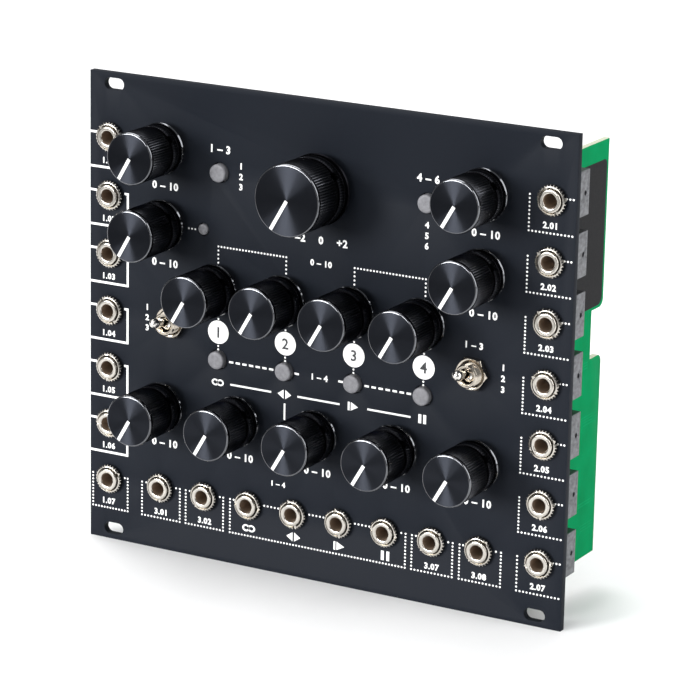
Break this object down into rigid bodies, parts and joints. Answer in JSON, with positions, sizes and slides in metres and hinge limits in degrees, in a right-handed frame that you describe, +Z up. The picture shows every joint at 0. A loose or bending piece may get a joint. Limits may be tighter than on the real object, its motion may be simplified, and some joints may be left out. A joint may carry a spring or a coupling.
{
  "type": "eurorack delay module",
  "caption": "Rack synthesizer delay module: black panel with knurled knobs, lit push buttons, bat toggles and patch jacks, side jack boards and stacked boards behind",
  "frame": {"origin": "middle of the four rack slots, on the panel's rear face where it seats on the rails", "axes": "+X right as seen from the front, +Y into the rack, +Z up"},
  "size_m": [0.142, 0.0566, 0.1284],
  "materials": {
    "panel_paint": "satin black paint",
    "green_board": "green solder mask",
    "spacer_brass": "plated brass",
    "zinc_steel": "zinc plated",
    "black_moulding": "moulded",
    "nickel": "nickel plated",
    "tinned_steel": "tinned",
    "contact_bronze": "bare spring bronze",
    "lamp_lens": "diffused epoxy",
    "chip_epoxy": "moulded epoxy",
    "black_anodised": "black anodised",
    "shaft_aluminium": "turned",
    "frosted_cap": "frosted"
  },
  "bodies": {
    "chassis": {"front_panel": "panel_paint", "left_jack_board": "green_board", "right_jack_board": "green_board", "control_board": "green_board", "main_board": "green_board", "board_spacers": "spacer_brass", "board_screws": "zinc_steel", "jack_housings": "black_moulding", "jack_bushes": "nickel", "jack_nuts": "nickel", "jack_plates": "tinned_steel", "jack_contacts": "contact_bronze", "pot_housings": "zinc_steel", "pot_bushes": "nickel", "pot_nuts": "nickel", "toggle_housings": "black_moulding", "toggle_bushes": "nickel", "toggle_nuts": "nickel", "button_switches": "black_moulding", "level_lamp": "lamp_lens", "power_header": "black_moulding", "connector_blocks": "black_moulding", "connector_pins": "contact_bronze", "board_chips": "chip_epoxy"},
    "dry_control": {"dry_knob": "black_anodised", "dry_shaft": "shaft_aluminium"},
    "record_control": {"record_knob": "black_anodised", "record_shaft": "shaft_aluminium"},
    "wet_control": {"wet_knob": "black_anodised", "wet_shaft": "shaft_aluminium"},
    "repeats_control": {"repeats_knob": "black_anodised", "repeats_shaft": "shaft_aluminium"},
    "speed_control": {"speed_knob": "black_anodised", "speed_shaft": "shaft_aluminium"},
    "head_1_control": {"head_1_knob": "black_anodised", "head_1_shaft": "shaft_aluminium"},
    "head_2_control": {"head_2_knob": "black_anodised", "head_2_shaft": "shaft_aluminium"},
    "head_3_control": {"head_3_knob": "black_anodised", "head_3_shaft": "shaft_aluminium"},
    "head_4_control": {"head_4_knob": "black_anodised", "head_4_shaft": "shaft_aluminium"},
    "tone_1_control": {"tone_1_knob": "black_anodised", "tone_1_shaft": "shaft_aluminium"},
    "tone_2_control": {"tone_2_knob": "black_anodised", "tone_2_shaft": "shaft_aluminium"},
    "tone_3_control": {"tone_3_knob": "black_anodised", "tone_3_shaft": "shaft_aluminium"},
    "tone_4_control": {"tone_4_knob": "black_anodised", "tone_4_shaft": "shaft_aluminium"},
    "tone_5_control": {"tone_5_knob": "black_anodised", "tone_5_shaft": "shaft_aluminium"},
    "mode_button": {"mode_button": "frosted_cap"},
    "tap_button": {"tap_button": "frosted_cap"},
    "head_1_button": {"head_1_button": "frosted_cap"},
    "head_2_button": {"head_2_button": "frosted_cap"},
    "head_3_button": {"head_3_button": "frosted_cap"},
    "head_4_button": {"head_4_button": "frosted_cap"},
    "left_toggle": {"left_toggle_lever": "nickel"},
    "right_toggle": {"right_toggle_lever": "nickel"}
  },
  "joints": [
    {"name": "dry_turn", "type": "hinge", "parent": "chassis", "child": "dry_control", "pos_m": [-0.0474, -0.002, 0.04645], "axis": [0, 1, 0], "range_deg": [0, 300]},
    {"name": "record_turn", "type": "hinge", "parent": "chassis", "child": "record_control", "pos_m": [-0.0474, -0.002, 0.02595], "axis": [0, 1, 0], "range_deg": [0, 300]},
    {"name": "wet_turn", "type": "hinge", "parent": "chassis", "child": "wet_control", "pos_m": [0.0464, -0.002, 0.04645], "axis": [0, 1, 0], "range_deg": [0, 300]},
    {"name": "repeats_turn", "type": "hinge", "parent": "chassis", "child": "repeats_control", "pos_m": [0.0464, -0.002, 0.02595], "axis": [0, 1, 0], "range_deg": [0, 300]},
    {"name": "speed_turn", "type": "hinge", "parent": "chassis", "child": "speed_control", "pos_m": [-0.0005, -0.002, 0.0417], "axis": [0, 1, 0], "range_deg": [0, 300]},
    {"name": "head_1_turn", "type": "hinge", "parent": "chassis", "child": "head_1_control", "pos_m": [-0.03098, -0.002, 0.01085], "axis": [0, 1, 0], "range_deg": [0, 300]},
    {"name": "head_2_turn", "type": "hinge", "parent": "chassis", "child": "head_2_control", "pos_m": [-0.01066, -0.002, 0.01085], "axis": [0, 1, 0], "range_deg": [0, 300]},
    {"name": "head_3_turn", "type": "hinge", "parent": "chassis", "child": "head_3_control", "pos_m": [0.00966, -0.002, 0.01085], "axis": [0, 1, 0], "range_deg": [0, 300]},
    {"name": "head_4_turn", "type": "hinge", "parent": "chassis", "child": "head_4_control", "pos_m": [0.02998, -0.002, 0.01085], "axis": [0, 1, 0], "range_deg": [0, 300]},
    {"name": "tone_1_turn", "type": "hinge", "parent": "chassis", "child": "tone_1_control", "pos_m": [-0.04736, -0.002, -0.02375], "axis": [0, 1, 0], "range_deg": [0, 300]},
    {"name": "tone_2_turn", "type": "hinge", "parent": "chassis", "child": "tone_2_control", "pos_m": [-0.02393, -0.002, -0.02375], "axis": [0, 1, 0], "range_deg": [0, 300]},
    {"name": "tone_3_turn", "type": "hinge", "parent": "chassis", "child": "tone_3_control", "pos_m": [-0.0005, -0.002, -0.02375], "axis": [0, 1, 0], "range_deg": [0, 300]},
    {"name": "tone_4_turn", "type": "hinge", "parent": "chassis", "child": "tone_4_control", "pos_m": [0.02293, -0.002, -0.02375], "axis": [0, 1, 0], "range_deg": [0, 300]},
    {"name": "tone_5_turn", "type": "hinge", "parent": "chassis", "child": "tone_5_control", "pos_m": [0.04636, -0.002, -0.02375], "axis": [0, 1, 0], "range_deg": [0, 300]},
    {"name": "mode_button_press", "type": "slide", "parent": "chassis", "child": "mode_button", "axis": [0, 1, 0], "range_m": [0, 0.0004], "stiffness_N_per_m": 4000},
    {"name": "tap_button_press", "type": "slide", "parent": "chassis", "child": "tap_button", "axis": [0, 1, 0], "range_m": [0, 0.0004], "stiffness_N_per_m": 4000},
    {"name": "head_1_button_press", "type": "slide", "parent": "chassis", "child": "head_1_button", "axis": [0, 1, 0], "range_m": [0, 0.0004], "stiffness_N_per_m": 4000},
    {"name": "head_2_button_press", "type": "slide", "parent": "chassis", "child": "head_2_button", "axis": [0, 1, 0], "range_m": [0, 0.0004], "stiffness_N_per_m": 4000},
    {"name": "head_3_button_press", "type": "slide", "parent": "chassis", "child": "head_3_button", "axis": [0, 1, 0], "range_m": [0, 0.0004], "stiffness_N_per_m": 4000},
    {"name": "head_4_button_press", "type": "slide", "parent": "chassis", "child": "head_4_button", "axis": [0, 1, 0], "range_m": [0, 0.0004], "stiffness_N_per_m": 4000},
    {"name": "left_toggle_throw", "type": "hinge", "parent": "chassis", "child": "left_toggle", "pos_m": [-0.04515, -0.0036, -0.00025], "axis": [1, 0, 0], "range_deg": [0, 22]},
    {"name": "right_toggle_throw", "type": "hinge", "parent": "chassis", "child": "right_toggle", "pos_m": [0.04415, -0.0036, -0.00025], "axis": [1, 0, 0], "range_deg": [0, 22]}
  ]
}
